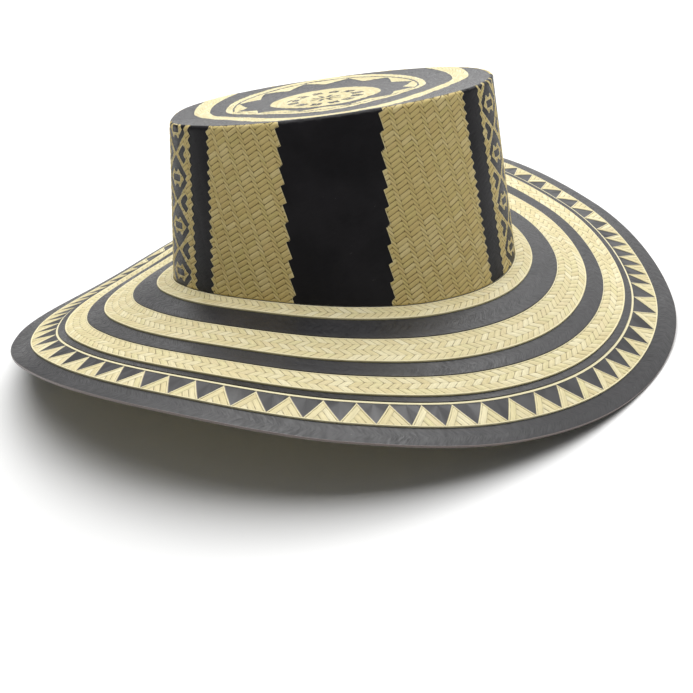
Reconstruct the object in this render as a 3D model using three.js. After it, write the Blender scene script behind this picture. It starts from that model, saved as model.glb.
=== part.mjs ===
// Woven straw hat with an oval crown and a wide, waved brim. Millimetres, +Z up.
// The hat is worked out upright, in its own frame: +X is the hat's right end, -Y its near side,
// and z = 0 is the mean height of the seam between crown and brim. It is then leaned over as it
// rests on a level surface, with the origin under the middle of its bounding box.
import * as THREE from 'three';

// Crown: outside of the straw at the seam, and at the top edge.
const SEAM_LENGTH = 200;
const SEAM_DEPTH = 158;
const SEAM_SQUARENESS = 1.85;
const TOP_LENGTH = 182;
const TOP_DEPTH = 136;
const TOP_SQUARENESS = 2.14;
const TOP_SHIFT = -1.2;
const CROWN_HEIGHT = 93;
const SHOULDER = 1.6;
const WALL_TURNS = 10;

// Shape of the crown's top, as shares of CROWN_HEIGHT: how far its plane rises from the middle to
// the right end and to the far side, and how deep its dish is and the fold that runs in from the
// left end. The fold's place is in shares of the top's half length and half depth.
const TOP_RISE_TO_RIGHT = 0.069;
const TOP_RISE_TO_FAR = 0.0065;
const TOP_DISH = 0.0215;
const TOP_FOLD = { depth: 0.013, from: 0.36, to: 0.7, across: -0.1, halfWidth: 0.45 };

// Rings of the crown's top: radii about its own centre.
const CENTRE_RADIUS = 31;
const STAR_RADIUS = 55.5;

// Straw: thickness, gap between neighbouring turns, and how far a turn's edge stands above or
// below the middle of the step to the next one, as a share of the thickness.
const STRAW = 1.4;
const GAP = 0.3;
const STEP = 0.25;

// Brim: its width along the straw from the seam, and each turn's outer edge as a share of it.
const BRIM_WIDTH = 101.5;
const BRIM_START = 0.004;
const BRIM_TURNS = [
  { name: 'brim_turn_1', outerEdge: 0.106, colour: 'natural' },
  { name: 'brim_turn_2', outerEdge: 0.256, colour: 'black' },
  { name: 'brim_turn_3', outerEdge: 0.437, colour: 'natural' },
  { name: 'brim_turn_4', outerEdge: 0.542, colour: 'black' },
  { name: 'brim_turn_5', outerEdge: 0.678, colour: 'natural' },
  { name: 'brim_turn_6', outerEdge: 0.72, colour: 'black' },
  { name: 'brim_triangles', outerEdge: 0.883, colour: 'mixed' },
  { name: 'brim_edge', outerEdge: 1, colour: 'black' },
];

// Wave of the brim, by direction round the hat: 0 is +X, 90 is +Y. seamRise is the seam's height as
// a share of CROWN_HEIGHT. The falls are the brim's downward slope in degrees, next to the crown,
// half way out and at the edge.
const BRIM_WAVE = [
  { direction: 0, seamRise: -0.023, innerFall: 17.0, middleFall: 23.8, outerFall: 22.8 },
  { direction: 30, seamRise: 0.095, innerFall: 4.1, middleFall: 6.8, outerFall: 10.5 },
  { direction: 60, seamRise: 0.167, innerFall: -10.2, middleFall: -7.4, outerFall: 7.6 },
  { direction: 90, seamRise: 0.146, innerFall: -11.3, middleFall: -6.5, outerFall: 14.8 },
  { direction: 120, seamRise: 0.059, innerFall: 3.7, middleFall: 7.3, outerFall: 21.5 },
  { direction: 150, seamRise: -0.024, innerFall: 18.5, middleFall: 18.8, outerFall: 19.7 },
  { direction: 180, seamRise: -0.053, innerFall: 20.4, middleFall: 19.0, outerFall: 13.5 },
  { direction: 210, seamRise: -0.04, innerFall: 16.1, middleFall: 13.9, outerFall: 11.1 },
  { direction: 240, seamRise: -0.037, innerFall: 17.2, middleFall: 13.6, outerFall: 15.9 },
  { direction: 270, seamRise: -0.072, innerFall: 22.3, middleFall: 20.3, outerFall: 25.1 },
  { direction: 300, seamRise: -0.115, innerFall: 24.5, middleFall: 28.6, outerFall: 33.0 },
  { direction: 330, seamRise: -0.106, innerFall: 22.9, middleFall: 31.6, outerFall: 32.9 },
];

// How the hat leans when it rests on a level surface, in degrees.
const LEAN_BACK = 10.07;
const LEAN_SIDE = 1.17;

// Facets round the hat.
const BRIM_FACETS = 72;
const CROWN_FACETS = 64;

// Steps in which the brim's slope is summed from the seam outward.
const BRIM_STEPS = 16;

const COLOURS = {
  natural: new THREE.MeshStandardMaterial({ color: 0xd9cd9a, roughness: 0.7, metalness: 0 }),
  black: new THREE.MeshStandardMaterial({ color: 0x1d1c20, roughness: 0.5, metalness: 0 }),
  mixed: new THREE.MeshStandardMaterial({ color: 0x9c9370, roughness: 0.6, metalness: 0 }),
};

const step = STEP * STRAW;

const radians = (degrees) => degrees * Math.PI / 180;

const mix = (a, b, share) => a + (b - a) * share;

const clamp = (value) => Math.min(1, Math.max(0, value));

// Smooth curve through a column of BRIM_WAVE, closed round the hat.
function wave(column, angle) {
  const rows = BRIM_WAVE.length;
  const place = ((angle / (2 * Math.PI)) % 1 + 1) % 1 * rows;
  const first = Math.floor(place);
  const t = place - first;
  const value = (k) => BRIM_WAVE[(first + k + rows) % rows][column];
  const [before, start, end, after] = [value(-1), value(0), value(1), value(2)];
  const bend = (2 * before - 5 * start + 4 * end - after) * t * t;
  const twist = (3 * start - before - 3 * end + after) * t * t * t;
  return start + ((end - before) * t + bend + twist) / 2;
}

// Point and outward direction of an oval in plan.
function oval(length, depth, squareness, angle) {
  const c = Math.cos(angle);
  const s = Math.sin(angle);
  const power = 2 / squareness;
  const x = length / 2 * Math.sign(c) * Math.abs(c) ** power;
  const y = depth / 2 * Math.sign(s) * Math.abs(s) ** power;
  const nx = Math.sign(x) * Math.abs(2 * x / length) ** (squareness - 1) / length;
  const ny = Math.sign(y) * Math.abs(2 * y / depth) ** (squareness - 1) / depth;
  const size = Math.hypot(nx, ny);
  return { x, y, nx: nx / size, ny: ny / size };
}

const seamOval = (angle) => oval(SEAM_LENGTH, SEAM_DEPTH, SEAM_SQUARENESS, angle);

const topOval = (angle) => oval(TOP_LENGTH, TOP_DEPTH, TOP_SQUARENESS, angle);

// Height of the crown's top at a plan point: a tilted plane with a flat middle, a raised edge and
// a shallow fold.
function topHeight(x, y) {
  const right = 2 * (x - TOP_SHIFT) / TOP_LENGTH;
  const far = 2 * y / TOP_DEPTH;
  const centre = 2 * CENTRE_RADIUS / TOP_DEPTH;
  const outward = clamp((Math.hypot(right, far) - centre) / (1 - centre));
  const tilt = TOP_RISE_TO_RIGHT * right + TOP_RISE_TO_FAR * far;
  const foldLength = clamp((-right - TOP_FOLD.from) / (TOP_FOLD.to - TOP_FOLD.from));
  const foldWidth = clamp(1 - Math.abs(far - TOP_FOLD.across) / TOP_FOLD.halfWidth);
  const fold = TOP_FOLD.depth * foldLength * foldWidth;
  return CROWN_HEIGHT * (1 + tilt - TOP_DISH * (1 - outward * outward) - fold);
}

// Point of the crown's wall: share 0 at the seam and 1 at the top edge, out is from its outer face.
function wallPoint(angle, share, out) {
  const low = seamOval(angle);
  const high = topOval(angle);
  const highX = high.x + TOP_SHIFT;
  const height = mix(CROWN_HEIGHT * wave('seamRise', angle), topHeight(highX, high.y), share);
  const push = out - shoulderInset(height, topHeight(highX, high.y));
  const nx = mix(low.nx, high.nx, share);
  const ny = mix(low.ny, high.ny, share);
  return [mix(low.x, highX, share) + nx * push, mix(low.y, high.y, share) + ny * push, height];
}

// The top edge is rounded: how far the wall has turned inward at a height.
function shoulderInset(height, top) {
  const into = Math.max(0, height - (top - SHOULDER));
  return SHOULDER - Math.sqrt(Math.max(0, SHOULDER * SHOULDER - into * into));
}

// Point of the brim: along is the distance from the seam on the straw, up is from its top face.
function brimPoint(angle, along, up) {
  const base = seamOval(angle);
  const [inner, middle, outer] = ['innerFall', 'middleFall', 'outerFall'].map((c) => radians(wave(c, angle)));
  const fall = (share) => inner + (4 * middle - 3 * inner - outer) * share
    + 2 * (inner + outer - 2 * middle) * share * share;
  const steps = BRIM_STEPS;
  let reach = 0;
  let height = CROWN_HEIGHT * wave('seamRise', angle);
  for (let k = 0; k < steps; k += 1) {
    const slope = fall((k + 0.5) / steps * along / BRIM_WIDTH);
    reach += Math.cos(slope) * along / steps;
    height -= Math.sin(slope) * along / steps;
  }
  const slope = fall(along / BRIM_WIDTH);
  reach += Math.sin(slope) * up;
  return [base.x + base.nx * reach, base.y + base.ny * reach, height + Math.cos(slope) * up];
}

// Closed ring from a loop of corner points at each of a number of angles.
function ringGeometry(facets, cornersAt) {
  const points = [];
  const faces = [];
  const loops = [];
  for (let k = 0; k < facets; k += 1) {
    loops.push(cornersAt(2 * Math.PI * k / facets));
  }
  const corners = loops[0].length;
  loops.forEach((loop) => loop.forEach((point) => points.push(...point)));
  for (let k = 0; k < facets; k += 1) {
    for (let c = 0; c < corners; c += 1) {
      const a = k * corners + c;
      const b = k * corners + (c + 1) % corners;
      const d = (k + 1) % facets * corners + c;
      const e = (k + 1) % facets * corners + (c + 1) % corners;
      faces.push(a, d, b, b, d, e);
    }
  }
  return solid(points, faces);
}

// Geometry from points and faces, turned inside out if its faces look inward.
function solid(points, faces) {
  let volume = 0;
  const at = (i) => new THREE.Vector3(points[3 * i], points[3 * i + 1], points[3 * i + 2]);
  for (let i = 0; i < faces.length; i += 3) {
    volume += at(faces[i]).dot(at(faces[i + 1]).cross(at(faces[i + 2])));
  }
  const ordered = volume > 0 ? faces : faces.slice().reverse();
  const geometry = new THREE.BufferGeometry();
  geometry.setAttribute('position', new THREE.Float32BufferAttribute(points, 3));
  geometry.setIndex(ordered);
  return geometry;
}

// One turn of the brim. Its inner edge lies a step lower than its outer edge.
function brimTurn(inner, outer) {
  const start = inner * BRIM_WIDTH + GAP / 2;
  const end = outer * BRIM_WIDTH - GAP / 2;
  return ringGeometry(BRIM_FACETS, (angle) => [
    brimPoint(angle, start, -step),
    brimPoint(angle, end, step),
    brimPoint(angle, end, step - STRAW),
    brimPoint(angle, start, -step - STRAW),
  ]);
}

// One turn of the wall, from share to share of its height. The last one rounds the shoulder.
function wallTurn(low, high, last) {
  const round = SHOULDER / CROWN_HEIGHT;
  const shares = last ? [low, high - round, high - round / 2, high] : [low, high];
  const lean = (share) => step * (1 - 2 * (share - low) / (high - low));
  const trim = GAP / 2 / CROWN_HEIGHT;
  const at = (share) => Math.min(high - trim, Math.max(low + trim, share));
  return ringGeometry(CROWN_FACETS, (angle) => {
    const outside = shares.map((share) => wallPoint(angle, at(share), lean(share)));
    const inside = shares.map((share) => wallPoint(angle, at(share), lean(share) - STRAW));
    return [...outside, ...inside.reverse()];
  });
}

// Corner of the crown's top on a circle about its centre, depth below its surface.
function circlePoint(angle, radius, depth) {
  const x = TOP_SHIFT + radius * Math.cos(angle);
  const y = radius * Math.sin(angle);
  return [x, y, topHeight(x, y) - depth];
}

// Corner of the crown's top beside the wall's rounded shoulder.
function rimPoint(angle, depth) {
  const edge = topOval(angle);
  const inset = shoulderInset(CROWN_HEIGHT - GAP / 2, CROWN_HEIGHT) + step + STRAW + GAP;
  const x = edge.x + TOP_SHIFT - edge.nx * inset;
  const y = edge.y - edge.ny * inset;
  return [x, y, topHeight(x, y) - depth];
}

// Flat round plate in the middle of the crown's top.
function centrePlate() {
  const points = [];
  const faces = [];
  const facets = CROWN_FACETS;
  for (const depth of [0, STRAW]) {
    for (let k = 0; k < facets; k += 1) {
      points.push(...circlePoint(2 * Math.PI * k / facets, CENTRE_RADIUS - GAP / 2, depth));
    }
  }
  for (let k = 0; k < facets; k += 1) {
    const next = (k + 1) % facets;
    faces.push(k, facets + k, next, next, facets + k, facets + next);
  }
  for (let k = 1; k < facets - 1; k += 1) {
    faces.push(0, k, k + 1, facets, facets + k + 1, facets + k);
  }
  return solid(points, faces);
}

const hat = new THREE.Group();

function add(name, geometry, colour) {
  const mesh = new THREE.Mesh(geometry, COLOURS[colour]);
  mesh.name = name;
  hat.add(mesh);
}

add('crown_top_centre', centrePlate(), 'natural');
add('crown_top_star', ringGeometry(CROWN_FACETS, (angle) => [
  circlePoint(angle, CENTRE_RADIUS + GAP / 2, step / 2),
  circlePoint(angle, STAR_RADIUS - GAP / 2, step / 2),
  circlePoint(angle, STAR_RADIUS - GAP / 2, step / 2 + STRAW),
  circlePoint(angle, CENTRE_RADIUS + GAP / 2, step / 2 + STRAW),
]), 'mixed');
add('crown_top_rim', ringGeometry(CROWN_FACETS, (angle) => [
  circlePoint(angle, STAR_RADIUS + GAP / 2, 0),
  rimPoint(angle, 0),
  rimPoint(angle, STRAW),
  circlePoint(angle, STAR_RADIUS + GAP / 2, STRAW),
]), 'black');
for (let k = 0; k < WALL_TURNS; k += 1) {
  const name = `wall_turn_${String(k + 1).padStart(2, '0')}`;
  add(name, wallTurn(k / WALL_TURNS, (k + 1) / WALL_TURNS, k === WALL_TURNS - 1), 'mixed');
}
BRIM_TURNS.forEach((turn, k) => {
  const innerEdge = k > 0 ? BRIM_TURNS[k - 1].outerEdge : BRIM_START;
  add(turn.name, brimTurn(innerEdge, turn.outerEdge), turn.colour);
});

// Lean the hat over, then set its lowest point on z = 0 and its middle over the origin.
const lean = new THREE.Matrix4().makeRotationX(-radians(LEAN_BACK));
lean.premultiply(new THREE.Matrix4().makeRotationY(radians(LEAN_SIDE)));
hat.children.forEach((mesh) => mesh.geometry.applyMatrix4(lean));
const box = new THREE.Box3().setFromObject(hat);
const middle = box.getCenter(new THREE.Vector3());
hat.children.forEach((mesh) => mesh.geometry.translate(-middle.x, -middle.y, -box.min.z));

export default hat;
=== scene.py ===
"""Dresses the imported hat: woven braid for the brim, the crown's wall and its top, light and camera.

The shapes are worked out in millimetres in the hat's own upright frame, with the same named sizes
as the solids, and are then leaned over and moved to where the solids are. Every sheet of straw is
laid out by its turn round the hat, a share of one turn from the front centre line towards the
right end, and by its way, the distance outward or downward in millimetres.
"""
import math
from types import SimpleNamespace

import bpy
import numpy as np
from mathutils import Matrix, Vector


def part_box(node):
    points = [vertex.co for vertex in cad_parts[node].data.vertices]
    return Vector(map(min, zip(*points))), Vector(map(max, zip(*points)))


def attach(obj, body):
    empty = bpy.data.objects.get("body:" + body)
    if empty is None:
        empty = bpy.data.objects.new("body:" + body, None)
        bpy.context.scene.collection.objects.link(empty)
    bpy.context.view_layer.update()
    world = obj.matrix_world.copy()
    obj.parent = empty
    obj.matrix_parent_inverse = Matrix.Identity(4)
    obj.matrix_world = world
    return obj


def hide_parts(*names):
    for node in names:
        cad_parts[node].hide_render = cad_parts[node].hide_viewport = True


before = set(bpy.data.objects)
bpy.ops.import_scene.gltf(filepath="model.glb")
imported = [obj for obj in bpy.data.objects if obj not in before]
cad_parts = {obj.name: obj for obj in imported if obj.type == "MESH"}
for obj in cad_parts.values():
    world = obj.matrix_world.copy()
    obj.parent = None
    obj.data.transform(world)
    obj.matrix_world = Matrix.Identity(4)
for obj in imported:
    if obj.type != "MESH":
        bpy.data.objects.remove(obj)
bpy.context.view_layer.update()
rng = np.random.default_rng(seed=11)

MM_IN_A_METRE = 1000

# Crown: outside of the straw at the seam and at the top edge. Its top's rise, dish and fold are
# shares of its height, and the fold's places are shares of the top's half length and half depth.
SEAM_LENGTH, SEAM_DEPTH, SEAM_SQUARENESS = 200.0, 158.0, 1.85
TOP_LENGTH, TOP_DEPTH, TOP_SQUARENESS = 182.0, 136.0, 2.14
TOP_SHIFT = -1.2
CROWN_HEIGHT = 93.0
SHOULDER = 1.6
TOP_RISE_TO_RIGHT = 0.069
TOP_RISE_TO_FAR = 0.0065
TOP_DISH = 0.0215
FOLD_DEPTH, FOLD_FROM, FOLD_TO, FOLD_ACROSS, FOLD_HALF_WIDTH = 0.013, 0.36, 0.7, -0.1, 0.45
CENTRE_RADIUS = 31.0
STAR_RADIUS = 55.5

# Straw: its thickness, how far a turn's edges lie above and below its middle as a share of that,
# and the gap between neighbouring turns, here and between the solids.
STRAW = 1.4
STEP = 0.25
GAP = 0.12
SOLID_GAP = 0.3

# Brim: its width along the straw, the steps that its curve is summed in, and the solids' facets.
BRIM_WIDTH = 101.5
BRIM_STEPS = 16
BRIM_FACETS = 72

# Lean of the hat at rest, in degrees.
LEAN_BACK = 10.07
LEAN_SIDE = 1.17

# Wave of the brim every 30 degrees from +X: the seam's height as a share of CROWN_HEIGHT, and the
# downward slope in degrees next to the crown, half way out and at the edge.
SEAM_RISE = (-0.023, 0.095, 0.167, 0.146, 0.059, -0.024, -0.053, -0.04, -0.037, -0.072, -0.115, -0.106)
INNER_FALL = (17.0, 4.1, -10.2, -11.3, 3.7, 18.5, 20.4, 16.1, 17.2, 22.3, 24.5, 22.9)
MIDDLE_FALL = (23.8, 6.8, -7.4, -6.5, 7.3, 18.8, 19.0, 13.9, 13.6, 20.3, 28.6, 31.6)
OUTER_FALL = (22.8, 10.5, 7.6, 14.8, 21.5, 19.7, 13.5, 11.1, 15.9, 25.1, 33.0, 32.9)

# Relief of the weave: how high the middle of a strand stands over the seams beside it.
NATURAL_RELIEF = 0.3
BLACK_RELIEF = 0.04

# Smooth selvedge along both edges of a natural band: its width, its relief and its profile, as
# shares of the two.
SELVEDGE = 0.85
SELVEDGE_RELIEF = 0.34
INNER_SELVEDGE = ((0.0, 0.0), (0.2, 0.85), (0.55, 1.0), (0.9, 0.8))
OUTER_SELVEDGE = ((0.0, 0.1), (0.1, 0.8), (0.45, 1.0), (0.8, 0.85))

# Across one strand and along it: places as shares, and heights as shares of the relief.
ACROSS = ((0.0, 0.0), (0.17, 0.82), (0.5, 1.0), (0.83, 0.82))
ALONG = ((0.0, 0.5), (0.14, 0.9), (0.5, 1.0), (0.86, 0.9))

# Faces that meet at more than this many degrees are shaded with a sharp edge between them.
SOFT_ANGLE = 65
CRISP_ANGLE = 35

# Points that agree to this part of a millimetre are made one.
MERGE_PER_MM = 1000

# Samples round the hat, the angle of its front centre line, and the farthest distance in ink.
TURN_SAMPLES = 1440
FRONT = 1.5 * math.pi
FAR_FROM_INK = 3.0

# Rounds in which a place that depends on its own result settles.
SETTLING_ROUNDS = 3


def smooth_loop(column, angle):
    """Closed smooth curve through a column of values, evenly spaced round the hat."""
    values = np.array(column)
    rows = len(values)
    place = np.mod(angle / (2 * np.pi), 1.0) * rows
    first = np.floor(place).astype(int)
    t = place - first
    before, start, end, after = (values[(first + k) % rows] for k in (-1, 0, 1, 2))
    bend = (2 * before - 5 * start + 4 * end - after) * t ** 2
    twist = (3 * start - before - 3 * end + after) * t ** 3
    return start + ((end - before) * t + bend + twist) / 2


def wave_between(value, period):
    """Runs from 0 to 1 and back once in each period."""
    return 1 - np.abs(2 * np.mod(value / period, 1.0) - 1)


def saw(value, period):
    """Rises evenly from -0.5 to 0.5 in each period and drops back at once."""
    return np.mod(value / period, 1.0) - 0.5


def share_between(value, start, end):
    """Runs evenly from 0 at the start to 1 at the end, and keeps to these beyond them."""
    return np.clip((value - start) / (end - start), 0, 1)


def outside(place, low, high):
    """Distance outside a range, negative within it."""
    return np.maximum(low - place, place - high)


def oval(length, depth, squareness, angle):
    """Point and outward direction of an oval in plan."""
    c, s = np.cos(angle), np.sin(angle)
    power = 2 / squareness
    x = length / 2 * np.sign(c) * np.abs(c) ** power
    y = depth / 2 * np.sign(s) * np.abs(s) ** power
    nx = np.sign(x) * np.abs(2 * x / length) ** (squareness - 1) / length
    ny = np.sign(y) * np.abs(2 * y / depth) ** (squareness - 1) / depth
    size = np.hypot(nx, ny)
    return x, y, nx / size, ny / size


def seam_oval(angle):
    return oval(SEAM_LENGTH, SEAM_DEPTH, SEAM_SQUARENESS, angle)


def top_oval(angle):
    x, y, nx, ny = oval(TOP_LENGTH, TOP_DEPTH, TOP_SQUARENESS, angle)
    return x + TOP_SHIFT, y, nx, ny


def top_height(x, y):
    """Height of the crown's top: a tilted plane with a flat middle, a raised edge and a fold."""
    right = 2 * (x - TOP_SHIFT) / TOP_LENGTH
    far = 2 * y / TOP_DEPTH
    centre = 2 * CENTRE_RADIUS / TOP_DEPTH
    outward = share_between(np.hypot(right, far), centre, 1)
    tilt = TOP_RISE_TO_RIGHT * right + TOP_RISE_TO_FAR * far
    fold_length = share_between(-right, FOLD_FROM, FOLD_TO)
    fold_width = np.clip(1 - np.abs(far - FOLD_ACROSS) / FOLD_HALF_WIDTH, 0, 1)
    fold = FOLD_DEPTH * fold_length * fold_width
    return CROWN_HEIGHT * (1 + tilt - TOP_DISH * (1 - outward ** 2) - fold)


def seam_height(angle):
    return CROWN_HEIGHT * smooth_loop(SEAM_RISE, angle)


def wall_length(angle):
    """Distance down the wall from the top edge to the seam."""
    low_x, low_y, _, _ = seam_oval(angle)
    high_x, high_y, _, _ = top_oval(angle)
    drop = top_height(high_x, high_y) - seam_height(angle)
    return np.sqrt(drop ** 2 + (low_x - high_x) ** 2 + (low_y - high_y) ** 2)


def wall_point(angle, way):
    """Point of the wall's outer face, way below its top edge, which is rounded."""
    share = 1 - way / wall_length(angle)
    low_x, low_y, low_nx, low_ny = seam_oval(angle)
    high_x, high_y, high_nx, high_ny = top_oval(angle)
    top = top_height(high_x, high_y)
    low = seam_height(angle)
    height = low + (top - low) * share
    into = np.clip(height - (top - SHOULDER), 0, SHOULDER)
    inset = SHOULDER - np.sqrt(SHOULDER ** 2 - into ** 2)
    nx = low_nx + (high_nx - low_nx) * share
    ny = low_ny + (high_ny - low_ny) * share
    x = low_x + (high_x - low_x) * share - nx * inset
    y = low_y + (high_y - low_y) * share - ny * inset
    return np.stack([x, y, height], -1)


def brim_point(angle, way, up):
    """Point of the brim, way out from the seam along the straw and up from its top face."""
    x, y, nx, ny = seam_oval(angle)
    falls = (INNER_FALL, MIDDLE_FALL, OUTER_FALL)
    inner, middle, outer = (np.radians(smooth_loop(column, angle)) for column in falls)

    def fall(share):
        straight = (4 * middle - 3 * inner - outer) * share
        return inner + straight + 2 * (inner + outer - 2 * middle) * share ** 2

    reach = np.zeros_like(way)
    height = seam_height(angle)
    for k in range(BRIM_STEPS):
        slope = fall((k + 0.5) / BRIM_STEPS * way / BRIM_WIDTH)
        reach = reach + np.cos(slope) * way / BRIM_STEPS
        height = height - np.sin(slope) * way / BRIM_STEPS
    slope = fall(way / BRIM_WIDTH)
    reach = reach + np.sin(slope) * up
    return np.stack([x + nx * reach, y + ny * reach, height + np.cos(slope) * up], -1)


def top_point(angle, way):
    """Point of the crown's top, way out from its middle."""
    x = TOP_SHIFT + way * np.cos(angle)
    y = way * np.sin(angle)
    return np.stack([x, y, top_height(x, y)], -1)


def rim_radius(angle, inset):
    """Radius of the crown's top at an angle, measured to its edge less the inset."""
    table = np.linspace(0, 2 * np.pi, TURN_SAMPLES + 1)
    x, y, nx, ny = top_oval(table)
    x = x - TOP_SHIFT - nx * inset
    y = y - ny * inset
    angles = np.unwrap(np.arctan2(y, x))
    return np.interp(np.mod(angle, 2 * np.pi), angles, np.hypot(x, y), period=2 * np.pi)


def even_turns(line):
    """Map from turns to angles that runs evenly along a closed line, and the line's length."""
    angles = FRONT + 2 * np.pi * np.arange(TURN_SAMPLES + 1) / TURN_SAMPLES
    steps = np.linalg.norm(np.diff(line(angles), axis=0), axis=1)
    run = np.concatenate([[0], np.cumsum(steps)])

    def angle_at(turn):
        return np.interp(np.mod(turn, 1.0), run / run[-1], angles)

    return angle_at, run[-1]


def leaning():
    """The hat's lean as a matrix, and the shift that brings the leaned hat onto the solids."""
    back = Matrix.Rotation(math.radians(-LEAN_BACK), 3, "X")
    side = Matrix.Rotation(math.radians(LEAN_SIDE), 3, "Y")
    turn = np.array(side @ back)
    angles = 2 * np.pi * np.arange(BRIM_FACETS) / BRIM_FACETS
    lift = STEP * STRAW
    outer = np.full_like(angles, BRIM_WIDTH - SOLID_GAP / 2)
    upper = brim_point(angles, outer, lift)
    lower = brim_point(angles, outer, lift - STRAW)
    low = (np.concatenate([upper, lower]) @ turn.T).min(0)
    shift = np.array(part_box("brim_edge")[0]) * MM_IN_A_METRE - low
    return turn, shift


LEAN, SHIFT = leaning()


def surface_with_normals(surface, turn, way):
    """Points of a sheet and the directions out of its outer face."""
    turn_step, way_step, tiny = 5e-4, 0.3, 1e-9
    round_hat = surface(turn + turn_step, way) - surface(turn - turn_step, way)
    outward = surface(turn, way + way_step) - surface(turn, way - way_step)
    normal = np.cross(outward, round_hat)
    normal /= np.maximum(np.linalg.norm(normal, axis=-1, keepdims=True), tiny)
    return surface(turn, way), normal


class Patch:
    """Rectangular grid of a sheet: rows run round the hat, and each row lies further out.

    turn, way and rise have one value at each grid point, and so have ink, the signed distance into
    the light straw, and rim, which is 1 on a smooth outline. strand has, for each corner of a grid
    cell, the place along and across its strand, from -1 to 1, and a chance from 0 to 1. edges names
    the sides that the straw's thickness closes. The inner face has one row of points for so many
    of the outer one as under says, and is smooth unless it has them all.
    """

    def __init__(self, turn, way, rise, strand, ink=FAR_FROM_INK, rim=0.0, edges=(), under=1):
        self.turn = turn
        self.way, self.rise, self.ink, self.rim = (
            np.broadcast_to(values, turn.shape) for values in (way, rise, ink, rim))
        self.strand = strand
        self.edges = edges
        self.under = under


def grid_faces(rows, columns, first):
    """Cells of a grid of points, facing outward."""
    index = first + np.arange(rows * columns).reshape(rows, columns)
    corners = [index[:-1, :-1], index[1:, :-1], index[1:, 1:], index[:-1, 1:]]
    return np.stack(corners, -1).reshape(-1, 4)


def sewn_mesh(name, surface, patches, sharp=SOFT_ANGLE):
    """One closed mesh from patches, their undersides and the straw's edges."""
    points, inks, rims, faces, strands = [], [], [], [], []
    count = 0

    def add_grid(place, patch, rows):
        nonlocal count
        points.append(place.reshape(-1, 3))
        inks.append(patch.ink[rows].reshape(-1))
        rims.append(patch.rim[rows].reshape(-1))
        count += len(points[-1])
        return count - len(points[-1])

    for patch in patches:
        place, normal = surface_with_normals(surface, patch.turn, patch.way)
        rise = patch.rise[..., None]
        every = np.arange(patch.turn.shape[0])
        last = every[-1]
        kept = np.unique(np.append(every[::patch.under], last))
        columns = patch.turn.shape[1]
        upper = add_grid(place + normal * rise, patch, every)
        lower_rise = rise if patch.under == 1 else 0 * rise
        lower = add_grid((place - normal * (STRAW + lower_rise))[kept], patch, kept)
        faces.append(grid_faces(len(every), columns, upper))
        strands.append(patch.strand.reshape(-1, 4, 3))
        faces.append(grid_faces(len(kept), columns, lower)[:, ::-1])
        under = patch.strand[np.minimum(kept[:-1], last - 1)]
        strands.append(under.reshape(-1, 4, 3)[:, ::-1])
        for edge in patch.edges:
            a = upper + (0 if edge == "start" else last) * columns + np.arange(columns)
            b = lower + (0 if edge == "start" else len(kept) - 1) * columns + np.arange(columns)
            side = np.stack([a[:-1], a[1:], b[1:], b[:-1]], -1)
            faces.append(side if edge == "start" else side[:, ::-1])
            strands.append(np.zeros((columns - 1, 4, 3)))
    values = (np.concatenate(parts) for parts in (points, inks, rims, faces, strands))
    return merged_mesh(name, *values, sharp)


def merged_mesh(name, points, ink, rim, faces, strand, sharp):
    """Mesh object with points in one place made one, and cells that fold to nothing left out."""
    places = np.round(points * MERGE_PER_MM).astype(np.int64)
    _, first, same = np.unique(places, axis=0, return_index=True, return_inverse=True)
    same = same.reshape(-1)
    faces = same[faces]
    differs = faces != np.roll(faces, -1, 1)
    whole = differs.all(1) & (faces[:, 0] != faces[:, 2]) & (faces[:, 1] != faces[:, 3])
    three = (differs.sum(1) == 3) & ~whole
    polygons = faces[whole].tolist()
    corners = [strand[whole].reshape(-1, 3)]
    for face, keep, corner in zip(faces[three], differs[three], strand[three]):
        if len(set(face[keep].tolist())) == 3:
            polygons.append(face[keep].tolist())
            corners.append(corner[keep])
    vertices = (points[first] @ LEAN.T + SHIFT) / MM_IN_A_METRE
    mesh = bpy.data.meshes.new(name)
    mesh.from_pydata(vertices.tolist(), [], polygons)
    for key, values in (("ink", ink), ("rim", rim)):
        point_data = mesh.attributes.new(key, "FLOAT", "POINT").data
        point_data.foreach_set("value", values[first].astype(np.float32))
    corner_data = mesh.attributes.new("strand", "FLOAT_VECTOR", "CORNER").data
    corner_data.foreach_set("vector", np.concatenate(corners).astype(np.float32).reshape(-1))
    mesh.shade_smooth()
    mesh.set_sharp_from_angle(angle=math.radians(sharp))
    obj = bpy.data.objects.new(name, mesh)
    bpy.context.scene.collection.objects.link(obj)
    return obj


def finish_piece(obj, material, nodes):
    obj.data.materials.append(material)
    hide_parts(*nodes)
    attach(obj, "root")


def strand_intervals(profile):
    """Both sides of each interval of a strand's profile, as places from -1 to 1."""
    places = [2 * share - 1 for share, _ in profile] + [1.0]
    return list(zip(places, places[1:]))


def band_levels(start, end, rows, selvedge):
    """Levels across a band of braid, and for each interval its row and its places along a strand.

    A level is (way, sideways lean in rows, height share, rim share).
    """
    levels, intervals = [], []
    if selvedge:
        for share, height in INNER_SELVEDGE:
            levels.append((start + share * selvedge, 0.0, height, 1.0))
            intervals.append((-1, 0.0, 0.0))
    inner, outer = start + selvedge, end - selvedge
    height_of_row = (outer - inner) / rows
    for row in range(rows):
        for (share, height), interval in zip(ALONG, strand_intervals(ALONG)):
            lean = share if row % 2 == 0 else 1 - share
            levels.append((inner + (row + share) * height_of_row, lean, height, 0.0))
            intervals.append((row, *interval))
    if selvedge:
        for share, height in OUTER_SELVEDGE:
            levels.append((outer + share * selvedge, float(rows % 2), height, 1.0))
            intervals.append((-1, 0.0, 0.0))
    levels.append((end, float(rows % 2), 0.0, 0.0))
    return np.array(levels), intervals


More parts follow.
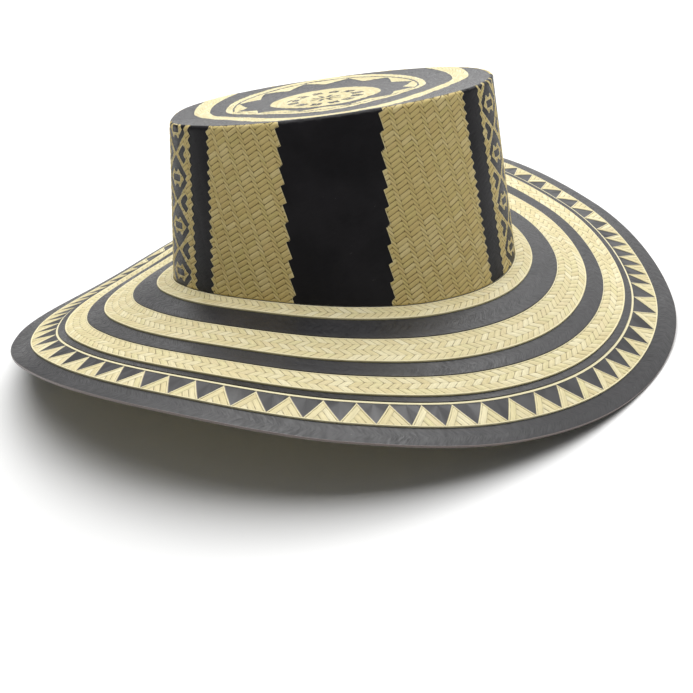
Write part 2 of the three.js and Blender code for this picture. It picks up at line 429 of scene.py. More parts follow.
def braid_patch(start, end, rows, length, pitch, lean, black, selvedge=0.0, under=1):
    """Patch of a band woven in rows of slanted strands that lean one way and then the other."""
    strands = round(length / pitch)
    levels, intervals = band_levels(start, end, rows, selvedge)
    column_turn = [(number + share) / strands for number in range(strands) for share, _ in ACROSS]
    column_turn = np.array(column_turn + [1.0])
    column_height = np.array([height for _, height in ACROSS] * strands + [0.0])
    way, sideways, height, rim = levels.T
    turn = column_turn[None] + sideways[:, None] * lean / length
    relief = BLACK_RELIEF if black else NATURAL_RELIEF
    woven = relief * height[:, None] * column_height[None]
    rise = np.where(rim[:, None] > 0, SELVEDGE_RELIEF * height[:, None], woven)
    chance = rng.random((rows + 1, strands))
    strand = np.zeros((len(intervals), strands * len(ACROSS), 4, 3))
    for j, (row, low, high) in enumerate(intervals):
        strand[j, :, :, 0] = (low, high, high, low)
        strand[j, :, :, 2] = np.repeat(chance[row], len(ACROSS))[:, None]
        if row < 0:
            continue
        for k, (left, right) in enumerate(strand_intervals(ACROSS)):
            strand[j, k::len(ACROSS), :, 1] = (left, left, right, right)
    ink = -FAR_FROM_INK if black else FAR_FROM_INK
    return Patch(turn, way[:, None], rise, strand, ink, rim[:, None], ("start", "end"), under)


def brim_surface(start, end):
    """Surface of one turn of the brim, whose inner edge lies a step lower than its outer edge."""
    middle = (start + end) / 2
    angle_at, length = even_turns(lambda angle: brim_point(angle, np.full_like(angle, middle), 0.0))

    def surface(turn, way):
        lift = STEP * STRAW * (2 * (way - start) / (end - start) - 1)
        return brim_point(angle_at(turn), way, lift)

    return surface, length


# Ring of triangles: its inner and outer edge as shares of the brim's width.
TRIANGLES_FROM, TRIANGLES_TO = 0.72, 0.883

# Each other turn of the brim: node, inner and outer edge as such shares, rows of strands, the
# strands' pitch round the hat, how far they lean in one row, and whether it is black.
BRIM_BANDS = (
    ("brim_turn_1", 0.004, 0.106, 2, 4.2, 4.4, False),
    ("brim_turn_2", 0.106, 0.256, 3, 4.4, 4.6, True),
    ("brim_turn_3", 0.256, 0.437, 4, 4.4, 4.3, False),
    ("brim_turn_4", 0.437, 0.542, 2, 4.8, 4.8, True),
    ("brim_turn_5", 0.542, 0.678, 3, 5.0, 4.2, False),
    ("brim_turn_6", 0.678, TRIANGLES_FROM, 1, 5.2, 4.0, True),
    ("brim_edge", TRIANGLES_TO, 1.0, 2, 5.4, 5.0, True),
)


def brim_bands(natural, black):
    """The brim's plain turns, where the last one shows its cut edge."""
    for node, inner, outer, rows, pitch, lean, is_black in BRIM_BANDS:
        start, end = inner * BRIM_WIDTH + GAP / 2, outer * BRIM_WIDTH - GAP / 2
        surface, length = brim_surface(start, end)
        selvedge = 0.0 if is_black else SELVEDGE
        patch = braid_patch(start, end, rows, length, pitch, lean, is_black, selvedge)
        if node == "brim_edge":
            patch.rim = np.where(patch.way == end, 1.0, patch.rim)
        obj = sewn_mesh(node.replace("turn", "braid") + "_woven", surface, [patch])
        material, slot = (black, "black_straw") if is_black else (natural, "natural_straw")
        finish_piece(obj, material, [node])


# Triangles in the ring, and how many there are from the left end to each place round the brim,
# given as a share of one turn from the front centre line.
TRIANGLES = 74
TRIANGLE_PLACES = (
    (0, -0.253), (2, -0.230), (4, -0.197), (6, -0.163), (8, -0.134), (10, -0.105), (13, -0.060),
    (16, -0.0115), (24, 0.1154), (26, 0.146), (30, 0.1975), (33, 0.245), (36, 0.273), (39, 0.303),
    (43, 0.356), (46, 0.388), (64, 0.649), (TRIANGLES, 0.747))

# The light line inside the triangles and the light margin outside them: widths, and profiles of
# places from their inner edges and heights.
TRIANGLE_LINE = 1.6
TRIANGLE_MARGIN = 0.75
LINE_PROFILE = ((0.0, 0.0), (0.25, 0.28), (0.8, 0.32), (1.35, 0.26), (TRIANGLE_LINE, 0.0))
MARGIN_PROFILE = ((0.0, 0.0), (0.2, 0.24), (0.6, 0.24), (TRIANGLE_MARGIN, 0.0))

# Strands of a triangle: their edges, as shares of the way from one side to the opposite corner,
# and the profile across one of them. Both are the same from either end. The first two strands
# beside the left side follow it, and the others follow the right side. A black triangle has rows
# of points at these shares of the way in from its sides.
TRIANGLE_EDGES = (0.0, 0.06, 0.27, 0.5, 0.73, 0.94, 1.0)
TRIANGLE_ACROSS = ((0.0, 0.0), (0.25, 0.9), (0.75, 0.9))
BLACK_INSETS = (0.0, 0.2, 1.0)


def triangle_turn(number):
    """Turn at a number of triangles counted from the left end."""
    rounds = np.floor(number / TRIANGLES)
    numbers, turns = zip(*TRIANGLE_PLACES)
    return rounds + np.interp(number - rounds * TRIANGLES, numbers, turns)


def triangle_levels():
    """Places from a triangle's side, their heights, and the strand of each interval between them."""
    places, heights, spans = [], [], []
    for number, (low, high) in enumerate(zip(TRIANGLE_EDGES, TRIANGLE_EDGES[1:])):
        for (share, height), interval in zip(TRIANGLE_ACROSS, strand_intervals(TRIANGLE_ACROSS)):
            places.append(low + share * (high - low))
            heights.append(height)
            spans.append((number, *interval))
    return np.array(places + [1.0]), np.array(heights + [0.0]), spans


def light_triangle(number, inner, outer):
    """Light triangle that points inward, on a grid of lines that follow its two sides."""
    places, heights, spans = triangle_levels()
    outline, followed = TRIANGLE_EDGES[1:3]
    left, right = np.meshgrid(places, places)
    right = np.minimum(right, 1 - left)
    depth = left + right
    follows_left = (left <= followed) & (right > outline)
    height = np.interp(np.where(follows_left, left, right), places, heights)
    on_side = (left == 0) | (right == 0)
    on_outline = on_side | np.isclose(depth, 1)
    rise = np.where(on_outline, 0.0, NATURAL_RELIEF * height)
    rim = np.where((left < outline) | (right < outline), 1.0, 0.0)
    ink = np.where(on_side, 0.0, FAR_FROM_INK)
    turn = triangle_turn(number + (left - right) / 2)
    strand = light_triangle_strand(places, spans, outline, followed)
    return Patch(turn, inner + depth * (outer - inner), rise, strand, ink=ink, rim=rim)


def light_triangle_strand(places, spans, outline, followed):
    """Places along and across the strands of a light triangle."""
    strand = np.zeros((len(spans), len(spans), 4, 3))
    chance = rng.random((2, len(TRIANGLE_EDGES)))
    for j, (right_number, right_low, right_high) in enumerate(spans):
        for i, (left_number, left_low, left_high) in enumerate(spans):
            if places[i] < followed and places[j] >= outline:
                low, high = 2 * places[j] - 1, 2 * places[j + 1] - 1
                strand[j, i, :, 0] = (low, high, high, low)
                strand[j, i, :, 1] = (left_low, left_low, left_high, left_high)
                strand[j, i, :, 2] = chance[0, left_number]
            else:
                low, high = ((place - followed) / (1 - followed) - 1 for place in places[i:i + 2])
                if places[j] >= outline:
                    strand[j, i, :, 0] = (low, low, high, high)
                strand[j, i, :, 1] = (right_low, right_high, right_high, right_low)
                strand[j, i, :, 2] = chance[1, right_number]
    return strand


def black_triangle(number, inner, outer):
    """Flat black triangle that points outward."""
    places, _, _ = triangle_levels()
    side = np.concatenate([-places[:0:-1], places])[None]
    inset = np.array(BLACK_INSETS)[:, None]
    depth = inset + np.abs(side) * (1 - inset)
    turn = triangle_turn(number - side * (1 - inset) / 2)
    ink = np.where(inset > 0, -FAR_FROM_INK, 0.0)
    strand = np.zeros((len(BLACK_INSETS) - 1, side.size - 1, 4, 3))
    strand[..., 0] = np.stack([side[0, :-1], side[0, :-1], side[0, 1:], side[0, 1:]], -1)
    strand[..., 2] = rng.random()
    return Patch(turn, outer - depth * (outer - inner), 0.0, strand, ink)


def smooth_strip(turns, start, profile, edge):
    """Patch of a smooth light strip round the brim, with a profile across it."""
    ways, rises = np.array(profile).T[..., None]
    strand = np.zeros((len(ways) - 1, len(turns) - 1, 4, 3))
    middle_chance = 0.5
    strand[..., 2] = middle_chance
    return Patch(turns + 0 * ways, start + ways, rises, strand, rim=1.0, edges=(edge,))


def whole_ring(places):
    """Turns of the points along the bases of all triangles, from those of one."""
    numbers = np.concatenate([k + places for k in range(TRIANGLES)])
    return triangle_turn(np.unique(np.round(numbers, decimals=9)))


def brim_triangles(patterned):
    """The ring of triangles between its light line and its light margin."""
    start = TRIANGLES_FROM * BRIM_WIDTH + GAP / 2
    end = TRIANGLES_TO * BRIM_WIDTH - GAP / 2
    surface, _ = brim_surface(start, end)
    inner, outer = start + TRIANGLE_LINE, end - TRIANGLE_MARGIN
    patches = []
    for k in range(TRIANGLES):
        patches.append(light_triangle(k, inner, outer))
        patches.append(black_triangle(k + 0.5, inner, outer))
    places, _, _ = triangle_levels()
    insets = np.array(BLACK_INSETS)
    black_base = np.concatenate([insets / 2, 1 - insets / 2])
    patches.append(smooth_strip(whole_ring(black_base), start, LINE_PROFILE, "start"))
    patches.append(smooth_strip(whole_ring(places - 0.5), outer, MARGIN_PROFILE, "end"))
    obj = sewn_mesh("brim_triangles_woven", surface, patches, CRISP_ANGLE)
    finish_piece(obj, patterned, ["brim_triangles"])


# Crown's wall: columns of long strands that rise to the right, and narrow ones of short strands
# that fall steeply. A period has one of each. The short strands are lower, by the share given.
WALL_PERIOD = 8.9
LONG_WIDTH = 6.3
STRAND_PITCH = 2.9
LONG_RISE = 3.8
ROWS_DOWN_IN_A_TURN = 26
COLUMN_LEAN = math.tan(math.radians(13.5))
SHORT_HEIGHT = 0.6
WALL_ACROSS = ((0.0, 0.0), (0.15, 0.8), (0.38, 1.0), (0.62, 1.0), (0.85, 0.8))

# Zigzag edges on the wall, in millimetres: place round the wall from the front centre line, how
# far it moves to the right with each millimetre down, depth of the teeth, distance down to the
# first rightmost point, pitch, and the share of the pitch in which the edge goes back to the left.
WIDE_BAND_LEFT = (-25.3, -0.010, 2.5, 2.5, 9.88, 0.06)
WIDE_BAND_RIGHT = (26.6, 0.025, 2.5, 1.6, 9.91, 0.06)
LEFT_STRIP_EDGE = (-86.8, -0.002, 2.5, 0.0, 5.34, 0.45)
LEFT_BAND_EDGE = (-69.8, -0.047, 2.6, 1.0, 5.34, 0.35)
RIGHT_BAND_EDGE = (79.2, 0.102, 2.3, 1.7, 5.38, 0.35)
RIGHT_STRIP_EDGE = (93.4, 0.083, 2.1, 2.5, 5.34, 0.35)
BACK_BAND_EDGE = (27.0, 0.0, 2.5, 1.6, 9.91, 0.06)

# Middle lines of the two diamond strips: place, lean, first crossing of their lines, length of one
# repeat and width as a share of the chart's.
LEFT_MIDDLE = (-105.4, 0.0, 15.8, 27.0, 1.0)
RIGHT_MIDDLE = (104.5, 0.127, 26.0, 28.2, 0.82)

# Chart of one repeat of the strip, in millimetres across from its middle line and down. The lens
# and the ring are measured from one crossing and from the ring's middle, the chevron from the
# crossing beside it. Only the right half of the lens and a quarter of the ring are listed.
REPEAT = 27.0
LENS = ((0.0, 0.4), (4.6, 3.9), (13.4, 11.6), (11.5, 13.5), (13.4, 15.4), (4.6, 23.1), (0.0, 26.6))
RING = ((10.2, 0.0), (5.8, 3.1), (4.3, 5.0), (2.9, 4.8), (1.7, 3.4))
RING_CENTRE = ((5.1, 1.9),)
RING_SLANT = 0.15
CHEVRON = ((3.9, 0.0), (6.5, 2.6), (10.7, 5.3), (13.2, 2.8),
           (10.2, 0.0), (13.2, -2.8), (10.7, -5.3), (6.5, -2.6))

# Parts of the wall, round it, where the pattern needs fine columns of points, and how many there
# are across a long strand and a short one, there and elsewhere.
FINE_PARTS = ((-140.0, -56.0), (-43.0, -9.0), (12.0, 44.0), (74.0, 146.0))
FINE_COLUMNS = (9, 4)
COARSE_COLUMNS = (5, 3)

# One row of points of the inner face stands for so many of the outer one. There are more rows and
# columns of chances than the wall has of strands.
WALL_UNDER = 20
WALL_CHANCES = (100, 200)


def mirrored(shape, sideways):
    """Closed shape made of a part of it and its mirror image, beside it or below it."""
    other = [(-x, y) if sideways else (x, -y) for x, y in reversed(shape)]
    return tuple(shape) + tuple(point for point in other if point not in shape)


def inside(shape, x, y):
    """Signed distance into a closed shape: positive inside it and negative outside it."""
    nearest = np.full(x.shape, np.inf)
    within = np.zeros(x.shape, bool)
    for (x0, y0), (x1, y1) in zip(shape, shape[1:] + shape[:1]):
        dx, dy = x1 - x0, y1 - y0
        share = np.clip(((x - x0) * dx + (y - y0) * dy) / (dx * dx + dy * dy), 0, 1)
        nearest = np.minimum(nearest, np.hypot(x - x0 - share * dx, y - y0 - share * dy))
        if dy != 0:
            crosses = (y0 > y) != (y1 > y)
            within ^= crosses & (x < x0 + (y - y0) * dx / dy)
    return np.where(within, nearest, -nearest)


def zigzag(edge, down):
    """Place of a zigzag edge at a distance down the wall."""
    place, lean, depth, first, pitch, back = edge
    share = np.mod((down - first) / pitch, 1.0)
    return place + lean * down - depth * np.minimum(share / back, (1 - share) / (1 - back))


def strip_ink(across, down):
    """Signed distance into the light straw of a diamond strip."""
    below = np.mod(down, REPEAT)
    beside = np.mod(down + REPEAT / 2, REPEAT) - REPEAT / 2
    from_ring = below - REPEAT / 2
    slanted = across - RING_SLANT * from_ring
    lens = mirrored(LENS, True)
    ring = mirrored(mirrored(RING, True), False)
    centre = mirrored(mirrored(RING_CENTRE, True), False)
    light = np.minimum(FAR_FROM_INK, -inside(lens, across, below))
    light = np.maximum(light, inside(ring, slanted, from_ring))
    light = np.minimum(light, -inside(centre, slanted, from_ring))
    return np.minimum(light, -inside(CHEVRON, np.abs(across), beside))


def side_ink(place, down, middle_line, strip_edge, band_edge, side):
    """Signed distance into the light straw on one side of the hat: strip and the bands beside it."""
    start, lean, first, repeat, width = middle_line
    middle = start + lean * down
    folded = middle - side * np.abs(place - middle)
    strip_side = side * (folded - zigzag(strip_edge, down))
    band_side = side * (folded - zigzag(band_edge, down))
    strip = strip_ink((place - middle) / width, (down - first) * REPEAT / repeat)
    bands = np.maximum(strip_side, -band_side)
    return np.where(strip_side > 0, np.minimum(strip, strip_side), bands)


def wall_ink(place, down, half):
    """Signed distance into the light straw of the wall."""
    wide = np.maximum(zigzag(WIDE_BAND_LEFT, down) - place, place - zigzag(WIDE_BAND_RIGHT, down))
    back = half - np.abs(place) - zigzag(BACK_BAND_EDGE, down)
    left = side_ink(place, down, LEFT_MIDDLE, LEFT_STRIP_EDGE, LEFT_BAND_EDGE, -1)
    right = side_ink(place, down, RIGHT_MIDDLE, RIGHT_STRIP_EDGE, RIGHT_BAND_EDGE, 1)
    light = np.minimum(np.minimum(wide, back), np.where(place < 0, left, right))
    return np.clip(light, -FAR_FROM_INK, FAR_FROM_INK)


def wall_columns(half):
    """Places of the wall's columns of points, their height in the weave, and their strands."""
    places, lifts, spans = [], [], []
    periods = round(2 * half / WALL_PERIOD)
    period = 2 * half / periods
    long_width = period * LONG_WIDTH / WALL_PERIOD
    for k in range(periods):
        start = -half + k * period
        middle = start + period / 2
        fine = any(low < middle < high for low, high in FINE_PARTS)
        lefts = (start, start + long_width)
        widths = (long_width, period - long_width)
        for short, parts in enumerate(FINE_COLUMNS if fine else COARSE_COLUMNS):
            for part in range(parts):
                places.append(lefts[short] + widths[short] * part / parts)
                lifts.append(1 - part / parts if short else part / parts)
                spans.append((2 * k + short, 2 * part / parts - 1, 2 * (part + 1) / parts - 1))
    places.append(half)
    lifts.append(0.0)
    return np.array(places), np.array(lifts), spans


def crown_wall(patterned):
    """The wall in two halves, one over the other, each in place of five turns of braid."""
    angle_at, length = even_turns(lambda angle: wall_point(angle, wall_length(angle) / 2))
    turns = [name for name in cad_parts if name.startswith("wall_turn_")]
    turns.sort(key=lambda name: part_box(name)[0][2])
    half = len(turns) // 2
    strand_chance = rng.random(WALL_CHANCES)
    for name, top, foot, nodes in (("crown_wall_upper_woven", 0.0, 0.5, turns[half:]),
                                   ("crown_wall_lower_woven", 0.5, 1.0, turns[:half])):
        patch = wall_patch(angle_at, length, top, foot, strand_chance)
        obj = sewn_mesh(name, lambda turn, way: wall_point(angle_at(turn), way), [patch])
        finish_piece(obj, patterned, nodes)


def wall_patch(angle_at, length, top, foot, strand_chance):
    """Patch of the wall between two shares of the way down it."""
    half, samples = length / 2, 181
    places, lifts, spans = wall_columns(half)
    tallest = wall_length(np.linspace(0, 2 * np.pi, samples)).max()
    spare = ROWS_DOWN_IN_A_TURN // 2 + math.ceil(LONG_RISE / STRAND_PITCH) + 1
    rows = range(-spare, math.ceil(tallest / STRAND_PITCH) + spare)
    marks = np.array([(row + share) * STRAND_PITCH for row in rows for share, _ in WALL_ACROSS])
    offset = LONG_RISE * (1 - lifts) + ROWS_DOWN_IN_A_TURN * STRAND_PITCH * places / length
    way = marks[:, None] + offset[None]
    reach = wall_length(angle_at(np.broadcast_to(places / length, way.shape)))
    for _ in range(SETTLING_ROUNDS):
        kept = np.clip(way, top * reach, foot * reach)
        turn = (places[None] + COLUMN_LEAN * (kept - tallest / 2)) / length
        reach = wall_length(angle_at(turn))
    way = np.clip(way, top * reach, foot * reach)
    turn = (places[None] + COLUMN_LEAN * (way - tallest / 2)) / length
    place = (np.mod(turn + 0.5, 1.0) - 0.5) * length
    ink = wall_ink(place, way, half)
    phase = np.mod((way - offset[None]) / STRAND_PITCH, 1.0)
    shares, heights = zip(*WALL_ACROSS, (1.0, 0.0))
    long = np.array([column % 2 == 0 for column, _, _ in spans] + [False])
    lowered = np.where(long & (lifts > 0), 1.0, SHORT_HEIGHT)
    relief = np.where(ink > 0, NATURAL_RELIEF, BLACK_RELIEF)
    at_edge = (way <= 0) | (way >= reach)
    rise = np.where(at_edge, 0.0, relief * np.interp(phase, shares, heights) * lowered)
    strand = wall_strand(spans, len(marks), strand_chance)
    return Patch(turn, way, rise, strand, ink=ink, edges=("start", "end"), under=WALL_UNDER)


def wall_strand(spans, rows, chance):
    """Places along and across the wall's strands."""
    strand = np.zeros((rows - 1, len(spans), 4, 3))
    parts = len(WALL_ACROSS)
    for j, (low, high) in enumerate(strand_intervals(WALL_ACROSS)):
        strand[j::parts, :, :, 1] = (low, high, high, low)
    for i, (column, low, high) in enumerate(spans):
        strand[:, i, :, 0] = (low, low, high, high)
        strand[:, i, :, 2] = chance[np.arange(rows - 1) // parts, column][:, None]
    return strand


# Middle of the pattern on the crown's top. Farther out the pattern lies farther back, because the
# real top is dished. It also moves to the right between two radii, and backward on the near side,
# by ranges of y and of the radius.
PATTERN_MIDDLE = (-4.2, 3.0)
PATTERN_BACKWARD = 0.25
RIGHT_SHIFT = 3.0
RIGHT_SHIFT_RADII = (57.2, 67.2)
NEAR_SHIFT = 13.0
NEAR_SHIFT_GROWS = (6.0, -10.0)
NEAR_SHIFT_ENDS = (-58.0, -28.0)
NEAR_SHIFT_RADII = (22.0, 42.0)

# The light disc, the star, the thin rings and the light ring. STAR_SLANT is the share of a distance
# along the radius that lies across the star's slanted edge.
DISC_RADIUS = 31.5
STAR_POINTS = 12
STAR_TIPS = 51.8
STAR_VALLEYS = 44.0
STAR_SLANT = 0.75
STAR_LIMIT = 52.2
LIGHT_LINE = (53.5, 57.2)
LIGHT_RING = (69.5, 78.7)

# Rings of dark dashes in the disc: their number, the radius of their middles, half their length,
# half their width, and how far they lie to both sides of their ray.
OUTER_DASHES = (12, 18.8, 3.6, 1.35, 1.7)
INNER_DASHES = (8, 6.0, 3.6, 1.1, 0.0)

# Bands of the top: node, slot, inner and outer radius, rows of strands, strands in a row, and
# how far inside the oval edge the band is cut off, if it is. Their strands share one lean, and one
# row of points of the inner face stands for so many of the outer one.
TOP_BANDS = (
    ("crown_top_centre", "natural_straw", 0.0, CENTRE_RADIUS - GAP / 2, 11, 60, None),
    ("crown_top_star", "patterned_straw", CENTRE_RADIUS + GAP / 2, STAR_RADIUS - GAP / 2, 9, 110, None),
    ("crown_top_rim", "black_straw", STAR_RADIUS + GAP / 2, 92.0, 13, 130, 1.0),
)
TOP_LEAN = 5.5
TOP_UNDER = 4


def pattern_place(x, y):
    """Radius and turn in the pattern of the crown's top."""
    radius = np.hypot(x - PATTERN_MIDDLE[0], y - PATTERN_MIDDLE[1])
    near_y = share_between(y, *NEAR_SHIFT_GROWS) * share_between(y, *NEAR_SHIFT_ENDS)
    for _ in range(SETTLING_ROUNDS):
        outer = np.clip(radius - DISC_RADIUS, 0, None)
        middle_x = PATTERN_MIDDLE[0] + RIGHT_SHIFT * share_between(radius, *RIGHT_SHIFT_RADII)
        near = near_y * share_between(radius, *NEAR_SHIFT_RADII)
        middle_y = PATTERN_MIDDLE[1] + PATTERN_BACKWARD * outer + NEAR_SHIFT * near
        radius = np.hypot(x - middle_x, y - middle_y)
    return radius, np.arctan2(y - middle_y, x - middle_x) / (2 * np.pi)


def dashes(radius, turn, number, middle, half_length, half_width, apart):
    """Signed distance into a ring of dark dashes that point to the middle."""
    sideways = np.abs(saw(turn, 1 / number)) / number * 2 * np.pi * radius
    return np.minimum(half_width - np.abs(sideways - apart), half_length - np.abs(radius - middle))


def top_ink(x, y):
    """Signed distance into the light straw of the crown's top."""
    radius, turn = pattern_place(x, y)
    dark = np.maximum(dashes(radius, turn, *OUTER_DASHES), dashes(radius, turn, *INNER_DASHES))
    disc = np.minimum(DISC_RADIUS - radius, -dark)
    edge = STAR_VALLEYS + (STAR_TIPS - STAR_VALLEYS) * wave_between(turn, 1 / STAR_POINTS)
    star = np.minimum((radius - edge) * STAR_SLANT, STAR_LIMIT - radius)
    line = -outside(radius, *LIGHT_LINE)
    ring = -outside(radius, *LIGHT_RING)
    return np.clip(np.maximum.reduce([disc, star, line, ring]), -FAR_FROM_INK, FAR_FROM_INK)


def top_band(start, end, rows, strands, inset):
    """Round band of the crown's top, cut off inside its edge if an inset is given."""
    length = 2 * np.pi * (start + end) / 2
    patch = braid_patch(start, end, rows, length, length / strands, TOP_LEAN, False, under=TOP_UNDER)
    angle = FRONT + 2 * np.pi * patch.turn
    if inset is not None:
        limit = rim_radius(angle, inset)
        patch.rise = np.where(patch.way >= limit, 0.0, patch.rise)
        patch.way = np.minimum(patch.way, limit)
    point = top_point(angle, patch.way)
    patch.ink = top_ink(point[..., 0], point[..., 1])
    patch.rise = np.where(patch.ink > 0, patch.rise, patch.rise * BLACK_RELIEF / NATURAL_RELIEF)
    return patch


def top_surface(turn, way):
    return top_point(FRONT + 2 * np.pi * turn, way)


def crown_top(patterned):
    for node, slot, start, end, rows, strands, inset in TOP_BANDS:
        patch = top_band(start, end, rows, strands, inset)
        obj = sewn_mesh(node + "_woven", top_surface, [patch])
        finish_piece(obj, patterned, [node])


def node_of(tree, kind, inputs=(), **settings):
    """New shader node with its settings and inputs, where an input is a value or a socket."""
    node = tree.nodes.new(kind)
    for key, value in settings.items():
        setattr(node, key, value)
    for key, value in dict(inputs).items():
        if isinstance(value, bpy.types.NodeSocket):
            tree.links.new(value, node.inputs[key])
        else:
            node.inputs[key].default_value = value
    return node


def maths(tree, operation, *values):
    return node_of(tree, "ShaderNodeMath", dict(enumerate(values)), operation=operation).outputs[0]


def ramp_between(tree, value, low, high, to_low=0.0, to_high=1.0):
    """Value mapped smoothly from one range to another and held at its ends."""
    inputs = {"Value": value, "From Min": low, "From Max": high, "To Min": to_low, "To Max": to_high}
    return node_of(tree, "ShaderNodeMapRange", inputs, interpolation_type="SMOOTHSTEP").outputs[0]


def attribute(tree, name, output="Fac"):
    return node_of(tree, "ShaderNodeAttribute", attribute_name=name).outputs[output]


def noise(tree, place, scale, detail, roughness=0.5):
    """Value of a noise texture."""
    inputs = {"Vector": place, "Scale": scale, "Detail": detail, "Roughness": roughness}
    return node_of(tree, "ShaderNodeTexNoise", inputs).outputs["Fac"]


def mixed(tree, factor, first, second, blend="MIX"):
    """Two colours mixed, where the node's sockets are known by their numbers."""
    inputs = {0: factor, 6: first, 7: second}
    return node_of(tree, "ShaderNodeMix", inputs, data_type="RGBA", blend_type=blend).outputs[2]


# Straw colours, as linear red, green, blue and one.
CREAM = (0.69, 0.60, 0.33, 1)
GREENISH = (0.67, 0.60, 0.32, 1)
PINKISH = (0.70, 0.60, 0.35, 1)
TAN = (0.65, 0.555, 0.295, 1)
PALE = (0.76, 0.69, 0.44, 1)
# Painted shade for the seams between strands, their crossings and the strands' ends.
SEAM_SHADE = (0.10, 0.068, 0.022, 1)
# Painted shade for the upright wall: it makes the wall's straw darker and more olive than the brim's
# and the top's.
WALL_SHADE_TINT = (0.90, 0.82, 0.61, 1)
DYED = (0.006, 0.0055, 0.0068, 1)
DYED_LIGHT = (0.012, 0.011, 0.013, 1)
SCUFF = (0.10, 0.095, 0.095, 1)
CUT_EDGE = (0.16, 0.13, 0.12, 1)

# Colours of strands by their chance.
STRAND_COLOURS = ((0.25, CREAM), (0.5, PALE), (0.72, CREAM), (0.9, TAN))

# Scale and detail of the noise textures, and also roughness for the last.
FIBRES = (1.0, 3.0)
BLOTCHES = (38.0, 3.0)
# Noise that makes the painted seam shade stronger in some places and weaker in others.
SEAM_SHADE_NOISE = (260.0, 2.0)
MARKS = (420.0, 4.0, 0.65)

# How far the fibres move along and sideways with a strand's chance, and how much finer they are
# across a strand than along it.
CHANCE_ALONG = 53.0
CHANCE_SIDEWAYS = 91.0
FINER_ACROSS = 5.0

# Ranges of a value and, where a second pair follows, of what it sets.
STREAKS = (0.35, 0.7, 1.0, 0.84)
STRAND_END = (0.76, 1.0)
CORNER = (0.35, 0.9)
# Range of that noise over which the painted seam shade goes from weakest to strongest.
SEAM_SHADE_SPREAD = (0.35, 0.62)
UNEVEN_DYE = (0.35, 0.7)
SCUFF_SPOTS = (0.66, 0.74, 0.0, 0.55)
SCUFF_PATCHES = (0.5, 0.68)
CUT_RIM = (0.6, 1.0)
LIGHT_ROUGHNESS = (0.3, 0.7, 0.5, 0.68)
DARK_ROUGHNESS = (0.32, 0.68, 0.28, 0.58)
INK_EDGE = (-0.1, 0.1)
PALE_OUTLINE = (0.15, 0.6, 0.45, 0.0)

# Least and most painted shade in the seams between strands, what crossings add to it, and
# that at strands' ends. Then how much of the palest colour a rim has, and the bump of the fibres.
SEAM_DARKNESS = (0.2, 0.8)
CROSSING_DARKNESS = 0.2
END_DARKNESS = 0.1
RIM_PALENESS = 0.7
BUMP = {"Strength": 0.35, "Distance": 0.00015}


def straw_parts(tree):
    """Sockets that the straw materials read, with along and across from a strand's middle."""
    strand = {"Vector": attribute(tree, "strand", "Vector")}
    along, across, chance = node_of(tree, "ShaderNodeSeparateXYZ", strand).outputs
    moved = node_of(tree, "ShaderNodeCombineXYZ", {
        "X": maths(tree, "MULTIPLY_ADD", chance, CHANCE_ALONG, along),
        "Y": maths(tree, "MULTIPLY", across, FINER_ACROSS),
        "Z": maths(tree, "MULTIPLY", chance, CHANCE_SIDEWAYS)}).outputs[0]
    place = node_of(tree, "ShaderNodeTexCoord").outputs["Object"]
    return SimpleNamespace(
        along=maths(tree, "ABSOLUTE", along), across=maths(tree, "ABSOLUTE", across),
        chance=chance, place=place, rim=attribute(tree, "rim"),
        fibres=noise(tree, moved, *FIBRES), blotches=noise(tree, place, *BLOTCHES))


def natural_colour(tree, parts, shade_tint, crossings, seam_from):
    """Cane in creams that differ a little from strand to strand, with painted shade in its seams and
    crossings.
    """
    ramp = node_of(tree, "ShaderNodeValToRGB", {"Fac": parts.chance})
    stops = ramp.color_ramp.elements
    stops[0].color = GREENISH
    stops[1].color = PINKISH
    for position, colour in STRAND_COLOURS:
        stops.new(position).color = colour
    streak = ramp_between(tree, parts.fibres, *STREAKS)
    grey = node_of(tree, "ShaderNodeCombineColor", {"Red": streak, "Green": streak, "Blue": streak})
    colour = mixed(tree, 1.0, ramp.outputs[0], grey.outputs[0], "MULTIPLY")
    # On the wall, a painted shade tint darkens the straw all over.
    if shade_tint is not None:
        colour = mixed(tree, 1.0, colour, shade_tint, "MULTIPLY")
    # Painted shade in the seams, at the crossings and at the strands' ends.
    colour = mixed(tree, seam_shade(tree, parts, crossings, seam_from), colour, SEAM_SHADE)
    return mixed(tree, maths(tree, "MULTIPLY", parts.rim, RIM_PALENESS), colour, PALE)


def seam_shade(tree, parts, crossings, seam_from):
    """Painted shade in the seams between strands, at their crossings and at the strands' ends."""
    seam = ramp_between(tree, parts.across, seam_from, 1.0)
    end = ramp_between(tree, parts.along, *STRAND_END)
    low, high = (darkness + CROSSING_DARKNESS * crossings for darkness in SEAM_DARKNESS)
    # The painted seam shade is stronger or weaker from place to place, by a noise.
    strength = ramp_between(tree, noise(tree, parts.place, *SEAM_SHADE_NOISE), *SEAM_SHADE_SPREAD, low, high)
    corner = ramp_between(tree, parts.across, *CORNER, 0.0, crossings)
    dark = maths(tree, "MULTIPLY", seam, strength)
    dark = maths(tree, "MAXIMUM", dark, maths(tree, "MULTIPLY", corner, end))
    return maths(tree, "MAXIMUM", dark, maths(tree, "MULTIPLY", end, END_DARKNESS))


def black_colour(tree, parts):
    """Dyed cane, a little uneven, with small pale scuffs and the undyed inside at its cut edge."""
    colour = mixed(tree, ramp_between(tree, parts.blotches, *UNEVEN_DYE), DYED, DYED_LIGHT)
    spots = ramp_between(tree, noise(tree, parts.place, *MARKS), *SCUFF_SPOTS)
    patches = ramp_between(tree, parts.blotches, *SCUFF_PATCHES)
    colour = mixed(tree, maths(tree, "MULTIPLY", spots, patches), colour, SCUFF)
    return mixed(tree, ramp_between(tree, parts.rim, *CUT_RIM), colour, CUT_EDGE)


